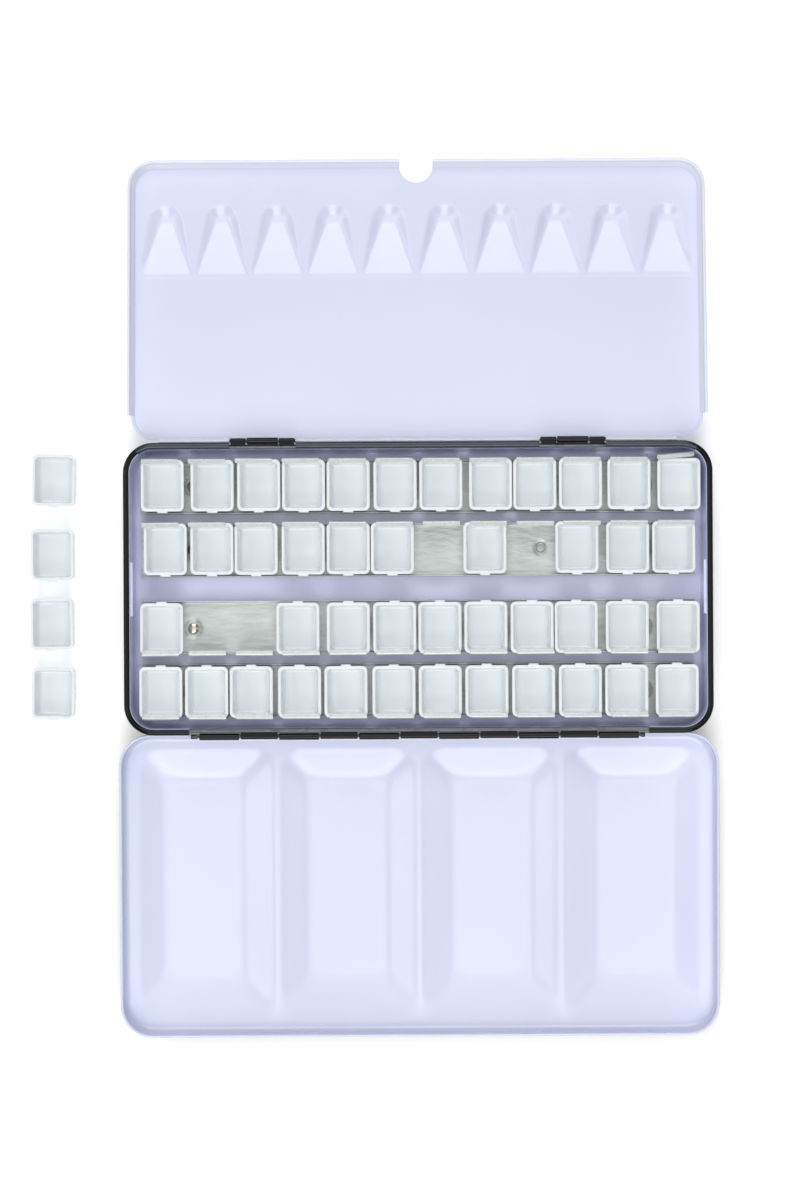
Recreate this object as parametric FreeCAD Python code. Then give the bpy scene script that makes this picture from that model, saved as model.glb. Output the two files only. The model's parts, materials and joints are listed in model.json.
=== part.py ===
"""Watercolour pan set: a hinged tinplate paint box with a folding palette leaf,
a mixing lid, four spring strips and forty-eight half pans, lying open.

Millimetres. X runs along the hinges, Y across them, Z up.
Origin: centre of the tray's flat underside, on the table.
The leaf and the lid are built in their closed position, then opened about
their hinge pins until they rest on the table.
"""
import FreeCAD, Part
import math
import os

V = FreeCAD.Vector
os.makedirs("parts", exist_ok=True)

# ---------------------------------------------------------------- dimensions
T = 0.4                    # enamelled sheet thickness

# tray
TRAY_HX = 105.35           # half length inside the wall
TRAY_HY = 51.1             # half width inside the wall
TRAY_R = 8.6               # inner corner radius
TRAY_H = 16.0              # rim height
TRAY_FOOT_R = 1.6          # inner radius at the foot of the wall
BEAD_R = 1.2               # rolled rim radius
RIB_HALF = 9.9             # half length of the rib pressed in each end wall
RIB_Z = 11.4
RIB_R = 1.4
RIB_U = 0.6                # rib axis, outside the wall's inner face

# hinges
AXIS_Z = 14.8
LID_AXIS_Y = -54.1
LEAF_AXIS_Y = 54.1
LID_KNUCKLE_R = 1.2
TRAY_KNUCKLE_R = 0.95
LEAF_KNUCKLE_R = 1.1
BORE_R = 0.5
PIN_R = 0.45
LID_PITCH = 29.2           # from one lid knuckle to the next
LID_KNUCKLE_W = 14.5
TRAY_KNUCKLE_W = 13.5
LID_GAP_HALF = 84.0        # rim bead is cut away along the lid hinge
LEAF_HINGE_X = 56.7        # the leaf has two short hinges
LEAF_HINGE_W = 23.3
LEAF_KNUCKLE_W = 11.4
LEAF_TRAY_W = 5.6

# palette leaf, closed position
LEAF_HX = 105.4
LEAF_Y0 = -49.5            # inside of the free edge skirt
LEAF_Y1 = 53.4             # inside of the hinge side skirt
LEAF_R = 8.8
LEAF_RIM_Z = 16.3
LEAF_PANEL_Z = 20.3        # palette surface
LEAF_HEM_R = 0.6
LEAF_FILLET = 1.3
LEAF_BARE_CORNER = 95.0    # the skirt stops here on the hinge side
LEAF_SIDE_STOP = 44.0      # and here on the two ends
NOTCH_W = 12.2
NOTCH_DEPTH = 8.0
THUMB_N = 10
THUMB_PITCH = 20.55
THUMB_D0 = 62.0            # ramp starts, from the hinge axis
THUMB_D1 = 88.8            # ramp's rounded deep end
THUMB_W0 = 16.9            # width where the ramp starts
THUMB_R = 5.3              # radius of the deep end
THUMB_DEPTH = 2.4

# lid, closed position
LID_HX = 109.0
LID_Y0 = -54.0
LID_Y1 = 55.6
LID_R = 11.0
LID_RIM_Z = 16.2
LID_PANEL_Z = 23.6
LID_LIP_R = 0.5
LID_FILLET = 2.4
WELL_N = 4
WELL_PITCH = 52.7
WELL_W = 51.0
WELL_HALF_L = 49.3
WELL_SLOPE = 11.5
WELL_DEPTH = 3.5

# pan strips
STRIP_HX = 102.6
STRIP_T = 0.35
STRIP_Z = 1.35             # underside of the raised strip floor
STRIP_ROWS = [37.95, 14.6, -14.6, -37.95]
STRIP_FINGER_SIDE = [1, 1, -1, -1]
FINGER_N = 12
FINGER_PITCH = 17.2
FINGER_W = 13.6
FINGER_TOP = 10.6
FOOT_Y = 8.95              # inner face of a finger at the strip floor
TOP_Y = 9.95               # inner face of a finger at its top
LIP_TOP = 4.0
LIP_OUT = 0.8              # the low lip stands this much further out than the fingers
DIMPLE_R = 3.2
FIX_X = [-83.4, -45.5, 45.5, 83.4]
RIVET_HEAD_R = 2.5
RIVET_HEAD_H = 0.75
RIVET_SHANK_R = 1.5
RIVET_HOLE_R = 1.56

# half pan
PAN_W = 15.9
PAN_L = 19.0
PAN_H = 9.8
PAN_DRAFT = 0.75           # each side narrows by this towards the bottom
PAN_R = 2.0
PAN_WALL = 1.15
PAN_FLOOR = 1.0
NIB_W = 3.6                # small lug at the middle of one end of the rim
NIB_OUT = 0.55
NIB_H = 1.0
PAN_Z = STRIP_Z + STRIP_T + 0.05

# where each pan sits: row, slot, x, offset across the row, turn in degrees
ROWS = {
    1: [(1, -93.7, 0.0, 0.1), (2, -75.4, 0.0, -0.1), (3, -58.3, 0.05, 0.1), (4, -41.9, 0.0, 0.0),
        (5, -25.5, -0.05, 0.1), (6, -8.3, 0.0, -0.1), (7, 8.5, 0.05, 0.1), (8, 26.75, 0.0, 0.0),
        (9, 42.95, 0.0, 0.1), (10, 59.7, 0.05, 0.1), (11, 77.5, 0.0, -0.1), (12, 95.8, -0.2, 0.1)],
    2: [(1, -92.7, 0.0, 0.1), (2, -75.6, 0.1, 0.0), (3, -59.4, 0.0, 0.1), (4, -42.1, 0.0, -0.1),
        (5, -25.6, 0.05, 0.1), (6, -9.4, 0.0, 0.0), (8, 24.55, 0.0, 0.1), (10, 58.3, 0.1, -0.1),
        (11, 76.9, 0.0, 0.1), (12, 93.8, 0.0, 0.0)],
    3: [(1, -94.2, 0.0, -0.1), (4, -44.2, 0.0, 0.1), (5, -25.7, -0.05, 0.0), (6, -8.7, 0.0, 0.1),
        (7, 7.9, 0.0, 0.0), (8, 24.75, 0.05, -0.1), (9, 41.7, 0.0, 0.1), (10, 57.9, 0.0, 0.0),
        (11, 76.6, 0.0, 0.1), (12, 95.3, -0.1, -0.1)],
    4: [(1, -94.6, 0.0, 0.1), (2, -77.8, 0.0, 0.1), (3, -61.4, 0.05, 0.0), (4, -43.7, 0.0, -0.1),
        (5, -26.7, 0.0, 0.1), (6, -9.1, -0.05, 0.1), (7, 7.9, 0.0, 0.0), (8, 25.0, 0.0, 0.1),
        (9, 42.15, 0.0, 0.0), (10, 59.3, 0.05, 0.1), (11, 76.3, 0.0, -0.1), (12, 94.8, 0.0, 0.1)],
}
# four pans taken out, beside the tray: x, y, turn in degrees
LOOSE = [(-133.8, 40.3, -1.4), (-134.5, 12.9, 0.3), (-134.7, -12.5, 0.4), (-134.3, -38.0, -1.0)]

# ------------------------------------------------------------------- helpers


def face(segments):
    """Closed face in the XZ plane from ("L", end) and ("A", middle, end)."""
    first = segments[0]
    here = V(first[0], 0, first[1])
    edges = []
    for seg in segments[1:]:
        end = V(seg[-1][0], 0, seg[-1][1])
        if seg[0] == "L":
            edges.append(Part.makeLine(here, end))
        else:
            mid = V(seg[1][0], 0, seg[1][1])
            edges.append(Part.Arc(here, mid, end).toShape())
        here = end
    return Part.Face(Part.Wire(edges))


def arc_mid(cx, cz, r, degrees):
    a = math.radians(degrees)
    return (cx + r * math.cos(a), cz + r * math.sin(a))


def ring(profile, hx, hy, r, cy=0.0):
    """Sweep a profile (u outward, z up) round a rounded rectangle."""
    parts = []
    for k, (along, out) in enumerate([(hy, hx), (hx, hy), (hy, hx), (hx, hy)]):
        side = profile.copy()
        side.translate(V(out, -(along - r), 0))
        solid = side.extrude(V(0, 2 * (along - r), 0))
        solid.rotate(V(0, 0, 0), V(0, 0, 1), 90 * k)
        parts.append(solid)
    for k, (sx, sy) in enumerate([(1, 1), (-1, 1), (-1, -1), (1, -1)]):
        corner = profile.copy()
        corner.translate(V(r, 0, 0))
        solid = corner.revolve(V(0, 0, 0), V(0, 0, 1), 90)
        solid.rotate(V(0, 0, 0), V(0, 0, 1), 90 * k)
        solid.translate(V(sx * (hx - r), sy * (hy - r), 0))
        parts.append(solid)
    out = parts[0].fuse(parts[1:])
    out.translate(V(0, cy, 0))
    return out


def rect_wire(hx, hy, r, z, cx=0.0, cy=0.0):
    """Rounded rectangle wire at height z."""
    k = r * (1 - math.sqrt(0.5))
    p = []
    for sx, sy in [(1, 1), (-1, 1), (-1, -1), (1, -1)]:
        a = V(cx + sx * hx, cy + sy * (hy - r), z)
        m = V(cx + sx * (hx - k), cy + sy * (hy - k), z)
        b = V(cx + sx * (hx - r), cy + sy * hy, z)
        p.append((a, m, b) if sx * sy > 0 else (b, m, a))
    edges = []
    for i in range(4):
        a, m, b = p[i]
        edges.append(Part.Arc(a, m, b).toShape())
        edges.append(Part.makeLine(b, p[(i + 1) % 4][0]))
    return Part.Wire(edges)


def plate(hx, hy, r, z0, z1, cx=0.0, cy=0.0):
    return Part.Face(rect_wire(hx, hy, r, z0, cx, cy)).extrude(V(0, 0, z1 - z0))


def facet_loop(hx, hy, r, z, cx=0.0, cy=0.0, n=3):
    """Points of a rectangle whose corners are cut in n flat facets."""
    pts = []
    for sx, sy, a0 in [(1, 1, 0), (-1, 1, 90), (-1, -1, 180), (1, -1, 270)]:
        for i in range(n + 1):
            a = math.radians(a0 + 90.0 * i / n)
            pts.append(V(cx + sx * (hx - r) + r * math.cos(a), cy + sy * (hy - r) + r * math.sin(a), z))
    return pts


def loop_face(points):
    return Part.Face(Part.makePolygon(points + points[:1]))


def side_faces(a, b):
    """Flat faces between two loops whose edges are parallel."""
    n = len(a)
    return [Part.Face(Part.makePolygon([a[i], a[(i + 1) % n], b[(i + 1) % n], b[i], a[i]])) for i in range(n)]


def frustum(a, b):
    return Part.Solid(Part.Shell([loop_face(a)] + side_faces(a, b) + [loop_face(b)]))


def box(x0, x1, y0, y1, z0, z1):
    return Part.makeBox(x1 - x0, y1 - y0, z1 - z0, V(x0, y0, z0))


def cyl_x(r, x0, x1, y, z):
    return Part.makeCylinder(r, x1 - x0, V(x0, y, z), V(1, 0, 0))


def cyl_y(r, y0, y1, x, z):
    return Part.makeCylinder(r, y1 - y0, V(x, y0, z), V(0, 1, 0))


def cyl_z(r, z0, z1, x, y):
    return Part.makeCylinder(r, z1 - z0, V(x, y, z0), V(0, 0, 1))


def clean(shape, name):
    shape = shape.removeSplitter()
    solids = shape.Solids
    if not solids:
        raise RuntimeError(name + ": no solid")
    out = solids[0] if len(solids) == 1 else Part.makeCompound(solids)
    if not out.isValid():
        print("INVALID", name)
    return out


def write(shape, name, expect=1):
    n = len(shape.Solids)
    bb = shape.optimalBoundingBox(False)
    print("%-22s solids %2d  valid %s  volume %9.2f  x %8.2f %8.2f  y %8.2f %8.2f  z %7.2f %7.2f" % (
        name, n, shape.isValid(), shape.Volume, bb.XMin, bb.XMax, bb.YMin, bb.YMax, bb.ZMin, bb.ZMax))
    if n != expect:
        print("   !! expected", expect, "solids")
    shape.exportStep("parts/" + name + ".step")


# ---------------------------------------------------------------------- tray
ro = TRAY_FOOT_R + T
zb = TRAY_H - BEAD_R
zj = zb - math.sqrt(BEAD_R ** 2 - (BEAD_R - T) ** 2)
aj = math.degrees(math.atan2(zj - zb, T - BEAD_R)) % 360
tray_profile = face([
    (-3.0, 0.0),
    ("L", (-TRAY_FOOT_R, 0.0)),
    ("A", arc_mid(-TRAY_FOOT_R, ro, ro, -45), (T, ro)),
    ("L", (T, zj)),
    ("A", arc_mid(BEAD_R, zb, BEAD_R, (aj + 540) / 2 % 360), (0.0, zb)),
    ("L", (0.0, ro)),
    ("A", arc_mid(-TRAY_FOOT_R, ro, TRAY_FOOT_R, -45), (-TRAY_FOOT_R, T)),
    ("L", (-3.0, T)),
    ("L", (-3.0, 0.0)),
])
tray = ring(tray_profile, TRAY_HX, TRAY_HY, TRAY_R)
tray = tray.fuse(plate(TRAY_HX - 3.0, TRAY_HY - 3.0, TRAY_R - 3.0, 0.0, T))

# rib pressed inward in each end wall
for s in (1, -1):
    x = s * (TRAY_HX + RIB_U)
    skin = cyl_y(RIB_R, -RIB_HALF, RIB_HALF, x, RIB_Z)
    skin = skin.cut(box(min(s * (TRAY_HX + T), s * 130), max(s * (TRAY_HX + T), s * 130), -60, 60, 0, 30))
    tray = tray.fuse(skin).cut(cyl_y(RIB_R - T, -RIB_HALF + T, RIB_HALF - T, x, RIB_Z))

# the rim bead gives way to hinge knuckles on both long sides
FLARE_Z0 = 13.5


def hinge_edge(y_sign, x0, x1):
    """Cut the bead away over x0..x1 and flare the wall's top edge outward."""
    global tray
    ya = y_sign * TRAY_HY
    lo, hi = sorted((ya - y_sign * 0.01, ya + y_sign * 4.0))
    tray = tray.cut(box(x0, x1, lo, hi, FLARE_Z0, 20))
    top = AXIS_Z + TRAY_KNUCKLE_R
    pts = [(0.0, FLARE_Z0), (T, FLARE_Z0), (T + 0.05, FLARE_Z0 + 0.15), (1.5, top - 0.2), (1.2, top), (0.0, FLARE_Z0 + 0.1)]
    poly = Part.makePolygon([V(x0, ya + y_sign * u, z) for u, z in pts] + [V(x0, ya + y_sign * pts[0][0], pts[0][1])])
    tray = tray.fuse(Part.Face(poly).extrude(V(x1 - x0, 0, 0)))


def tray_knuckle(y_sign, axis_y, xc, w, r=TRAY_KNUCKLE_R):
    global tray
    x0, x1 = xc - w / 2, xc + w / 2
    ya = y_sign * TRAY_HY
    top = AXIS_Z + r
    u_axis = abs(axis_y) - TRAY_HY
    pts = [(1.0, top - 0.35), (1.2, top), (u_axis, top), (u_axis, top - 0.35)]
    poly = Part.makePolygon([V(x0, ya + y_sign * u, z) for u, z in pts] + [V(x0, ya + y_sign * pts[0][0], pts[0][1])])
    tongue = Part.Face(poly).extrude(V(w, 0, 0))
    roll = cyl_x(r, x0, x1, axis_y, AXIS_Z)
    tray = tray.fuse(tongue.fuse(roll)).cut(cyl_x(BORE_R, x0 - 1, x1 + 1, axis_y, AXIS_Z))


hinge_edge(-1, -LID_GAP_HALF, LID_GAP_HALF)
for i in range(-2, 3):
    tray_knuckle(-1, LID_AXIS_Y, i * LID_PITCH, TRAY_KNUCKLE_W)
for s in (-1, 1):
    xc = s * LEAF_HINGE_X
    hinge_edge(1, xc - LEAF_HINGE_W / 2 - 0.5, xc + LEAF_HINGE_W / 2 + 0.5)
    for e in (-1, 1):
        tray_knuckle(1, LEAF_AXIS_Y, xc + e * (LEAF_HINGE_W - LEAF_TRAY_W) / 2, LEAF_TRAY_W)

# holes for the strip fixings
for row in STRIP_ROWS:
    for x in FIX_X:
        tray = tray.cut(cyl_z(RIVET_HOLE_R, -1, 2, x, row))
tray = clean(tray, "base_tray")
write(tray, "base_tray")

# -------------------------------------------------------------- palette leaf
z0, z1 = LEAF_RIM_Z, LEAF_PANEL_Z
h = LEAF_HEM_R
zc = z0 + h
zj = zc + math.sqrt(h ** 2 - (h - T) ** 2)
f = LEAF_FILLET
aj = math.degrees(math.atan2(zj - zc, T - h)) % 360
leaf_profile = face([
    (-3.0, z1),
    ("L", (-f, z1)),
    ("A", arc_mid(-f, z1 - f, f, 45), (0.0, z1 - f)),
    ("L", (0.0, zc)),
    ("A", arc_mid(h, zc, h, (180 + aj + 360) / 2), (T, zj)),
    ("L", (T, z1 - f)),
    ("A", arc_mid(-f, z1 - f, f + T, 45), (-f, z1 + T)),
    ("L", (-3.0, z1 + T)),
    ("L", (-3.0, z1)),
])
leaf_cy = (LEAF_Y0 + LEAF_Y1) / 2
leaf_hy = (LEAF_Y1 - LEAF_Y0) / 2
leaf = ring(leaf_profile, LEAF_HX, leaf_hy, LEAF_R, leaf_cy)
leaf = leaf.fuse(plate(LEAF_HX - 3.0, leaf_hy - 3.0, LEAF_R - 3.0, z1, z1 + T, 0, leaf_cy))
# bare rounded corners beside the hinge
for s in (-1, 1):
    a, b = sorted((s * LEAF_BARE_CORNER, s * 120))
    leaf = leaf.cut(box(a, b, LEAF_SIDE_STOP, 60, 10, z1 - 0.3))
# knuckles
for s in (-1, 1):
    xc = s * LEAF_HINGE_X
    x0, x1 = xc - LEAF_KNUCKLE_W / 2, xc + LEAF_KNUCKLE_W / 2
    y = LEAF_AXIS_Y
    tongue = box(x0, x1, y + LEAF_KNUCKLE_R - T, y + LEAF_KNUCKLE_R, AXIS_Z, AXIS_Z + 2.6)
    tongue = tongue.fuse(box(x0, x1, y - 0.4, y + LEAF_KNUCKLE_R - T + 0.1, AXIS_Z + 2.1, AXIS_Z + 2.6))
    leaf = leaf.fuse(tongue.fuse(cyl_x(LEAF_KNUCKLE_R, x0, x1, y, AXIS_Z)))
    leaf = leaf.cut(cyl_x(BORE_R, x0 - 1, x1 + 1, y, AXIS_Z))


def thumb(grow, drop, xc):
    """One ramp well: flat outline tapering to a round deep end."""
    ya = LEAF_AXIS_Y - THUMB_D0 + grow
    r = THUMB_R + grow
    yc = LEAF_AXIS_Y - (THUMB_D1 - THUMB_R)
    w = THUMB_W0 / 2 + grow
    z = LEAF_PANEL_Z - 0.001 if not grow else LEAF_PANEL_Z + 0.1
    # tangent from the corner (w, ya) to the end circle
    dx, dy = w, ya - yc
    dist = math.hypot(dx, dy)
    base = math.atan2(dy, dx)
    off = math.acos(r / dist)
    t = base - off
    px, py = r * math.cos(t), yc + r * math.sin(t)
    e = [Part.makeLine(V(xc - w, ya, z), V(xc + w, ya, z)),
         Part.makeLine(V(xc + w, ya, z), V(xc + px, py, z)),
         Part.Arc(V(xc + px, py, z), V(xc, yc - r, z), V(xc - px, py, z)).toShape(),
         Part.makeLine(V(xc - px, py, z), V(xc - w, ya, z))]
    prism = Part.Face(Part.Wire(e)).extrude(V(0, 0, 6))
    y_deep = LEAF_AXIS_Y - (THUMB_D1 - THUMB_R)
    y_start = LEAF_AXIS_Y - THUMB_D0
    slope = THUMB_DEPTH / (y_start - y_deep)
    zt = LEAF_PANEL_Z + drop
    ramp = Part.makePolygon([V(0, 80, -10), V(0, 80, zt - slope * (80 - y_start)), V(0, y_deep, zt + THUMB_DEPTH),
                             V(0, -80, zt + THUMB_DEPTH), V(0, -80, -10), V(0, 80, -10)])
    body = Part.Face(ramp).extrude(V(400, 0, 0))
    body.translate(V(-200, 0, 0))
    return prism.common(body)


thumb_x = [(i - (THUMB_N - 1) / 2) * THUMB_PITCH for i in range(THUMB_N)]
for x in thumb_x:
    leaf = leaf.fuse(thumb(T, T, x))
for x in thumb_x:
    leaf = leaf.cut(thumb(0.0, 0.0, x))
# finger notch in the free edge
edge = LEAF_Y0 - 2 * LEAF_HEM_R
r = NOTCH_W / 2
leaf = leaf.cut(box(-r, r, edge - 5, edge + NOTCH_DEPTH - r, 10, 30))
leaf = leaf.cut(cyl_z(r, 10, 30, 0, edge + NOTCH_DEPTH - r))
leaf = clean(leaf, "palette_leaf")

# ----------------------------------------------------------------------- lid
z0, z1 = LID_RIM_Z, LID_PANEL_Z
h = LID_LIP_R
zc = z0 + h
zj = zc + math.sqrt(h ** 2 - (h - T) ** 2)
f = LID_FILLET
aj = math.degrees(math.atan2(zj - zc, T - h)) % 360
lid_profile = face([
    (-4.0, z1),
    ("L", (-f, z1)),
    ("A", arc_mid(-f, z1 - f, f, 45), (0.0, z1 - f)),
    ("L", (0.0, zc)),
    ("A", arc_mid(h, zc, h, (180 + aj + 360) / 2), (T, zj)),
    ("L", (T, z1 - f)),
    ("A", arc_mid(-f, z1 - f, f + T, 45), (-f, z1 + T)),
    ("L", (-4.0, z1 + T)),
    ("L", (-4.0, z1)),
])
lid_cy = (LID_Y0 + LID_Y1) / 2
lid_hy = (LID_Y1 - LID_Y0) / 2
lid = ring(lid_profile, LID_HX, lid_hy, LID_R, lid_cy)
lid = lid.fuse(plate(LID_HX - 4.0, lid_hy - 4.0, LID_R - 4.0, z1, z1 + T, 0, lid_cy))


def well(xc, grow, drop):
    """Mixing well: shallow pyramid with faceted corners."""
    s = WELL_SLOPE
    r = 2.0
    top = facet_loop(WELL_W / 2 + grow, WELL_HALF_L + grow, r + s * 0.5, z1 + (0.0 if not grow else 0.2), xc, 0.0)
    low = facet_loop(WELL_W / 2 - s + grow, WELL_HALF_L - s + grow, r, z1 + WELL_DEPTH + drop, xc, 0.0)
    return frustum(top, low)


well_x = [(i - (WELL_N - 1) / 2) * WELL_PITCH for i in range(WELL_N)]
for x in well_x:
    lid = lid.fuse(well(x, 0.35, T))
for x in well_x:
    lid = lid.cut(well(x, 0.0, 0.0))
for i in range(6):
    xc = (i - 2.5) * LID_PITCH
    x0, x1 = xc - LID_KNUCKLE_W / 2, xc + LID_KNUCKLE_W / 2
    y = LID_AXIS_Y
    tongue = box(x0, x1, y - LID_KNUCKLE_R, y - LID_KNUCKLE_R + T, AXIS_Z, AXIS_Z + 2.4)
    tongue = tongue.fuse(box(x0, x1, y - LID_KNUCKLE_R + T - 0.1, y - 0.1, AXIS_Z + 2.0, AXIS_Z + 2.4))
    lid = lid.fuse(tongue.fuse(cyl_x(LID_KNUCKLE_R, x0, x1, y, AXIS_Z)))
    lid = lid.cut(cyl_x(BORE_R, x0 - 1, x1 + 1, y, AXIS_Z))
lid = clean(lid, "lid")

# --------------------------------------------------- open them onto the table
CLEAR = 0.02               # air left under the lowest point


def rest_angle(d, drop):
    """Extra turn past 180 degrees that brings a point down to the table."""
    lo, hi = 0.0, math.radians(20)
    for _ in range(60):
        mid = (lo + hi) / 2
        z = AXIS_Z - drop * math.cos(mid) - d * math.sin(mid)
        if z > CLEAR:
            lo = mid
        else:
            hi = mid
    return math.degrees(lo)


def open_shape(shape, axis_y, sign, angle):
    out = shape.copy()
    out.rotate(V(0, axis_y, AXIS_Z), V(sign, 0, 0), angle)
    return out


def settle(shape, axis_y, sign, guess):
    """Turn until the true lowest point clears the table."""
    lo, hi = guess - 1.5, guess + 1.5
    for _ in range(26):
        mid = (lo + hi) / 2
        if open_shape(shape, axis_y, sign, 180 + mid).optimalBoundingBox(False).ZMin > CLEAR:
            lo = mid
        else:
            hi = mid
    return lo


leaf_tilt = settle(leaf, LEAF_AXIS_Y, -1, rest_angle(THUMB_D1, LEAF_PANEL_Z + THUMB_DEPTH + T - AXIS_Z))
lid_tilt = settle(lid, LID_AXIS_Y, 1, rest_angle(WELL_HALF_L - WELL_SLOPE - LID_AXIS_Y, LID_PANEL_Z + WELL_DEPTH + T - AXIS_Z))
leaf_tilt = round(leaf_tilt - 0.0005, 3)
lid_tilt = round(lid_tilt - 0.0005, 3)
print("leaf opens %.3f degrees, lid opens %.3f degrees" % (180 + leaf_tilt, 180 + lid_tilt))
write(open_shape(leaf, LEAF_AXIS_Y, -1, 180 + leaf_tilt), "palette_leaf")
write(open_shape(lid, LID_AXIS_Y, 1, 180 + lid_tilt), "lid")

# ---------------------------------------------------------------- hinge pins
lid_pin = cyl_x(PIN_R, -82.9, 82.3, LID_AXIS_Y, AXIS_Z)
lid_pin = lid_pin.fuse(cyl_x(0.8, -83.4, -80.9, LID_AXIS_Y, AXIS_Z)).fuse(cyl_x(0.8, 80.9, 82.6, LID_AXIS_Y, AXIS_Z))
write(clean(lid_pin, "lid_hinge_pin"), "lid_hinge_pin")
pins = []
for s in (-1, 1):
    x0, x1 = s * LEAF_HINGE_X - LEAF_HINGE_W / 2, s * LEAF_HINGE_X + LEAF_HINGE_W / 2
    pin = cyl_x(PIN_R, x0 - 0.3, x1 + 0.3, LEAF_AXIS_Y, AXIS_Z)
    pin = pin.fuse(cyl_x(0.75, x0 - 0.45, x0 - 0.1, LEAF_AXIS_Y, AXIS_Z))
    pin = pin.fuse(cyl_x(0.75, x1 + 0.1, x1 + 0.45, LEAF_AXIS_Y, AXIS_Z))
    pins.append(clean(pin, "pin"))
write(Part.makeCompound(pins), "leaf_hinge_pins", 2)

# ---------------------------------------------------------------- pan strips


def strip(side):
    """One spring strip about y = 0, fingers on the +Y side when side is 1."""
    t = STRIP_T
    zf = STRIP_Z
    top = zf + t
    run = (TOP_Y - FOOT_Y) / (FINGER_TOP - top)

    def wall(x0, x1, z_top, sgn, out=0.0):
        foot = FOOT_Y + out
        y_top = foot + run * (z_top - top)
        pts = [(foot - 0.6, zf), (foot + t * 0.7, zf), (foot + t, zf + 0.3), (y_top + t, z_top), (y_top, z_top),
               (foot, top), (foot - 0.6, top)]
        poly = Part.makePolygon([V(x0, sgn * y, z) for y, z in pts + pts[:1]])
        return Part.Face(poly).extrude(V(x1 - x0, 0, 0))

    y0, y1 = sorted((side * (FOOT_Y - 0.3), -side * (FOOT_Y + LIP_OUT - 0.3)))
    s = box(-STRIP_HX, STRIP_HX, y0, y1, zf, top)
    s = s.fuse(wall(-STRIP_HX, STRIP_HX, LIP_TOP, -side, LIP_OUT))
    for i in range(FINGER_N):
        x = (i - (FINGER_N - 1) / 2) * FINGER_PITCH
        s = s.fuse(wall(max(x - FINGER_W / 2, -STRIP_HX), min(x + FINGER_W / 2, STRIP_HX), FINGER_TOP, side))
    # dimples pressed down to the tray floor
    drop_z = T + 0.02
    for x in FIX_X:
        cup = Part.makeCone(DIMPLE_R - 0.5, DIMPLE_R, top - drop_z, V(x, 0, drop_z), V(0, 0, 1))
        cup_in = Part.makeCone(DIMPLE_R - 0.5 - t * 0.6, DIMPLE_R - t * 0.6 + 0.02, top - drop_z - t + 0.05, V(x, 0, drop_z + t), V(0, 0, 1))
        s = s.fuse(cup).cut(cup_in).cut(cyl_z(RIVET_HOLE_R, -1, 5, x, 0))
    return clean(s, "strip")


shapes = {1: strip(1), -1: strip(-1)}
for n, (row, side) in enumerate(zip(STRIP_ROWS, STRIP_FINGER_SIDE), 1):
    s = shapes[side].copy()
    s.translate(V(0, row, 0))
    write(s, "pan_strip_%d" % n)

# ------------------------------------------------------------------- fixings
drop_top = T + 0.02 + STRIP_T
rivets, eyelets = [], []
for row in STRIP_ROWS:
    for x in FIX_X:
        zh = drop_top + 0.02
        if abs(x) > 60:
            rr = (RIVET_HEAD_R ** 2 + RIVET_HEAD_H ** 2) / (2 * RIVET_HEAD_H)
            dome = Part.makeSphere(rr, V(x, row, zh + RIVET_HEAD_H - rr)).common(cyl_z(RIVET_HEAD_R, zh, zh + 2, x, row))
            rivets.append(clean(dome.fuse(cyl_z(RIVET_SHANK_R, 0.02, zh + 0.1, x, row)), "rivet"))
        else:
            flange = Part.makeCone(2.35, 1.95, 0.8, V(x, row, zh), V(0, 0, 1))
            tube = cyl_z(RIVET_SHANK_R, 0.02, zh + 0.2, x, row)
            eyelets.append(clean(flange.fuse(tube).cut(cyl_z(1.2, -1, 3, x, row)), "eyelet"))
write(Part.makeCompound(rivets), "strip_rivets", 8)
write(Part.makeCompound(eyelets), "strip_eyelets", 8)

# ---------------------------------------------------------------------- pans


def half_pan():
    """Open-topped moulded pan standing on z = 0, its corners in flat facets."""
    d, w = PAN_DRAFT, PAN_WALL
    k = d * (PAN_H - PAN_FLOOR) / PAN_H
    o0 = facet_loop(PAN_W / 2 - d, PAN_L / 2 - d, PAN_R, 0.0)
    o1 = facet_loop(PAN_W / 2, PAN_L / 2, PAN_R, PAN_H)
    i1 = facet_loop(PAN_W / 2 - w, PAN_L / 2 - w, PAN_R - w, PAN_H)
    i0 = facet_loop(PAN_W / 2 - k - w, PAN_L / 2 - k - w, PAN_R - w, PAN_FLOOR)
    rim = [Part.Face(Part.makePolygon([o1[i], o1[(i + 1) % len(o1)], i1[(i + 1) % len(o1)], i1[i], o1[i]])) for i in range(len(o1))]
    shell = Part.Shell([loop_face(o0)] + side_faces(o0, o1) + rim + side_faces(i1, i0) + [loop_face(i0)])
    solid = Part.Solid(shell)
    if solid.Volume < 0:
        solid.reverse()
    y = -PAN_L / 2
    lug = [(y + 0.4, PAN_H), (y - NIB_OUT, PAN_H), (y - NIB_OUT, PAN_H - NIB_H * 0.5), (y + 0.4, PAN_H - NIB_H - 0.2)]
    lug = Part.Face(Part.makePolygon([V(-NIB_W / 2, b, c) for b, c in lug + lug[:1]])).extrude(V(NIB_W, 0, 0))
    return clean(solid.fuse(lug), "pan")


pan = half_pan()
for row, slots in ROWS.items():
    for slot, x, off, turn in slots:
        p = pan.copy()
        # the lug points away from the row's fingers
        p.rotate(V(0, 0, 0), V(0, 0, 1), turn + (0 if STRIP_FINGER_SIDE[row - 1] > 0 else 180))
        p.translate(V(x, STRIP_ROWS[row - 1] + off, PAN_Z))
        write(p, "pan_r%d_%02d" % (row, slot))
for n, (x, y, turn) in enumerate(LOOSE, 1):
    p = pan.copy()
    p.rotate(V(0, 0, 0), V(0, 0, 1), turn)
    p.translate(V(x, y, 0.0))
    write(p, "pan_loose_%d" % n)
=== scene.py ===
import bpy, bmesh, json, math, random
import numpy as np
from mathutils import Matrix, Vector


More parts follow.
